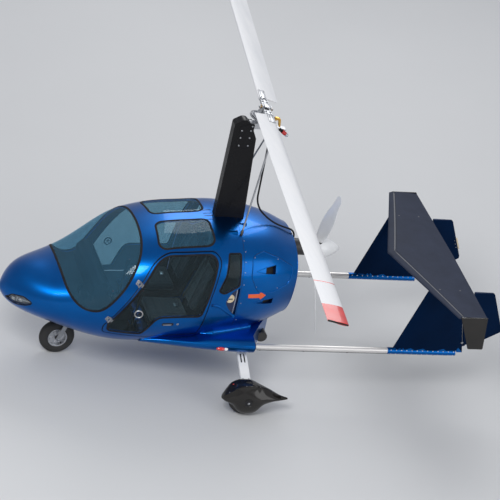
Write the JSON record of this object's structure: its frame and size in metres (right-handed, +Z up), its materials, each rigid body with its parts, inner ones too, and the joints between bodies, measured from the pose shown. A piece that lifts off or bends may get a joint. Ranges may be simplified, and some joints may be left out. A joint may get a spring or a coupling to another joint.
{
  "type": "gyrocopter",
  "caption": "Enclosed side-by-side gyrocopter: free-turning rotor on a mast, pusher propeller, tail on booms with fins and rudders, spatted main wheels and a steered nose wheel.",
  "frame": {"origin": "on the ground, at the middle of the box around the parked aircraft: midway between nose tip and rudder corners, and between the rotor blade tips", "axes": "+X to the aircraft's left, nose towards -Y, +Z up"},
  "size_m": [8.555, 5.07, 3.0814],
  "materials": {
    "hull_paint": "deep metallic blue, glossy",
    "glazing": "teal-tinted acrylic",
    "lamp_lens": "clear",
    "black_composite": "glossy black laminate",
    "dark_composite": "satin dark grey laminate",
    "white_paint": "glossy white",
    "rotor_paint": "satin white",
    "bright_metal": "satin",
    "steel": "machined",
    "dark_steel": "dark cast metal",
    "tread_rubber": "matte",
    "cabin_trim": "textured",
    "seat_cloth": "upholstery",
    "cable_sheath": "satin black"
  },
  "bodies": {
    "airframe": {"cabin_floor": "cabin_trim", "cabin_frame": "steel", "cabin_shell": "hull_paint", "cabin_windows": "glazing", "control_rods": "steel", "control_sticks": "dark_composite", "door_hinges": "steel", "drive_cable": "cable_sheath", "end_plates": "black_composite", "engine_block": "dark_steel", "engine_cowl": "hull_paint", "firewall": "bright_metal", "gear_legs": "white_paint", "instrument_panel": "cabin_trim", "mast": "black_composite", "nose_lamps": "lamp_lens", "nose_leg": "dark_composite", "rotor_head": "bright_metal", "seat_cushions": "seat_cloth", "seats": "black_composite", "silencer": "dark_steel", "stabilizer": "dark_composite", "tail_booms": "bright_metal", "tail_fins": "hull_paint", "wheel_spats": "black_composite", "windshield": "glazing", "wing_lights": "lamp_lens"},
    "rotor_mast_tower": {"rotor_tower": "steel"},
    "rotor_blades": {"rotor_hub_bar": "bright_metal", "rotor_blade_left": "rotor_paint", "rotor_blade_right": "rotor_paint"},
    "propeller_assembly": {"propeller": "white_paint", "spinner": "white_paint"},
    "steered_fork": {"nose_fork": "steel"},
    "nose_wheel": {"nose_tyre": "tread_rubber", "nose_rim": "bright_metal"},
    "main_wheel_left": {"main_tyre_left": "tread_rubber", "main_rim_left": "bright_metal"},
    "main_wheel_right": {"main_tyre_right": "tread_rubber", "main_rim_right": "bright_metal"},
    "cabin_door_left": {"door_left": "hull_paint", "door_glass_left": "glazing", "hinge_leaves_left": "steel"},
    "cabin_door_right": {"door_right": "hull_paint", "door_glass_right": "glazing", "hinge_leaves_right": "steel"},
    "rudder_flap_left": {"rudder_left": "hull_paint"},
    "rudder_flap_right": {"rudder_right": "hull_paint"}
  },
  "joints": [
    {"name": "rotor_spin", "type": "hinge", "parent": "airframe", "child": "rotor_mast_tower", "pos_m": [0, -0.191, 2.874], "axis": [0, 0.1736, 0.9848], "continuous": true},
    {"name": "rotor_teeter", "type": "hinge", "parent": "rotor_mast_tower", "child": "rotor_blades", "pos_m": [0, -0.191, 2.874], "axis": [0.1132, 0.9785, -0.1725], "range_deg": [-6, 6]},
    {"name": "propeller_spin", "type": "hinge", "parent": "airframe", "child": "propeller_assembly", "pos_m": [0, 0.651, 1.32], "axis": [0, 1, 0], "continuous": true},
    {"name": "nose_steer", "type": "hinge", "parent": "airframe", "child": "steered_fork", "pos_m": [0, -1.787, 0.38], "axis": [0, 0.2419, 0.9703], "range_deg": [-22, 22]},
    {"name": "nose_wheel_spin", "type": "hinge", "parent": "steered_fork", "child": "nose_wheel", "pos_m": [0, -1.85, 0.18], "axis": [1, 0, 0], "continuous": true},
    {"name": "main_wheel_left_spin", "type": "hinge", "parent": "airframe", "child": "main_wheel_left", "pos_m": [1.05, -0.135, 0.18], "axis": [1, 0, 0], "continuous": true},
    {"name": "main_wheel_right_spin", "type": "hinge", "parent": "airframe", "child": "main_wheel_right", "pos_m": [-1.05, -0.135, 0.18], "axis": [1, 0, 0], "continuous": true},
    {"name": "door_left_hinge", "type": "hinge", "parent": "airframe", "child": "cabin_door_left", "pos_m": [0.673, -1.321, 1.208], "axis": [-0.0693, -0.4648, -0.8827], "range_deg": [0, 70]},
    {"name": "door_right_hinge", "type": "hinge", "parent": "airframe", "child": "cabin_door_right", "pos_m": [-0.673, -1.321, 1.208], "axis": [-0.0693, 0.4648, 0.8827], "range_deg": [0, 70]},
    {"name": "rudder_left_hinge", "type": "hinge", "parent": "airframe", "child": "rudder_flap_left", "pos_m": [0.719, 2.171, 0.661], "axis": [0, -0.2107, 0.9776], "range_deg": [-25, 25]},
    {"name": "rudder_right_hinge", "type": "hinge", "parent": "airframe", "child": "rudder_flap_right", "pos_m": [-0.719, 2.171, 0.661], "axis": [0, -0.2107, 0.9776], "range_deg": [-25, 25]}
  ],
  "couplings": [
    {"joint": "rudder_right_hinge", "follows": "rudder_left_hinge", "ratio": 1}
  ]
}
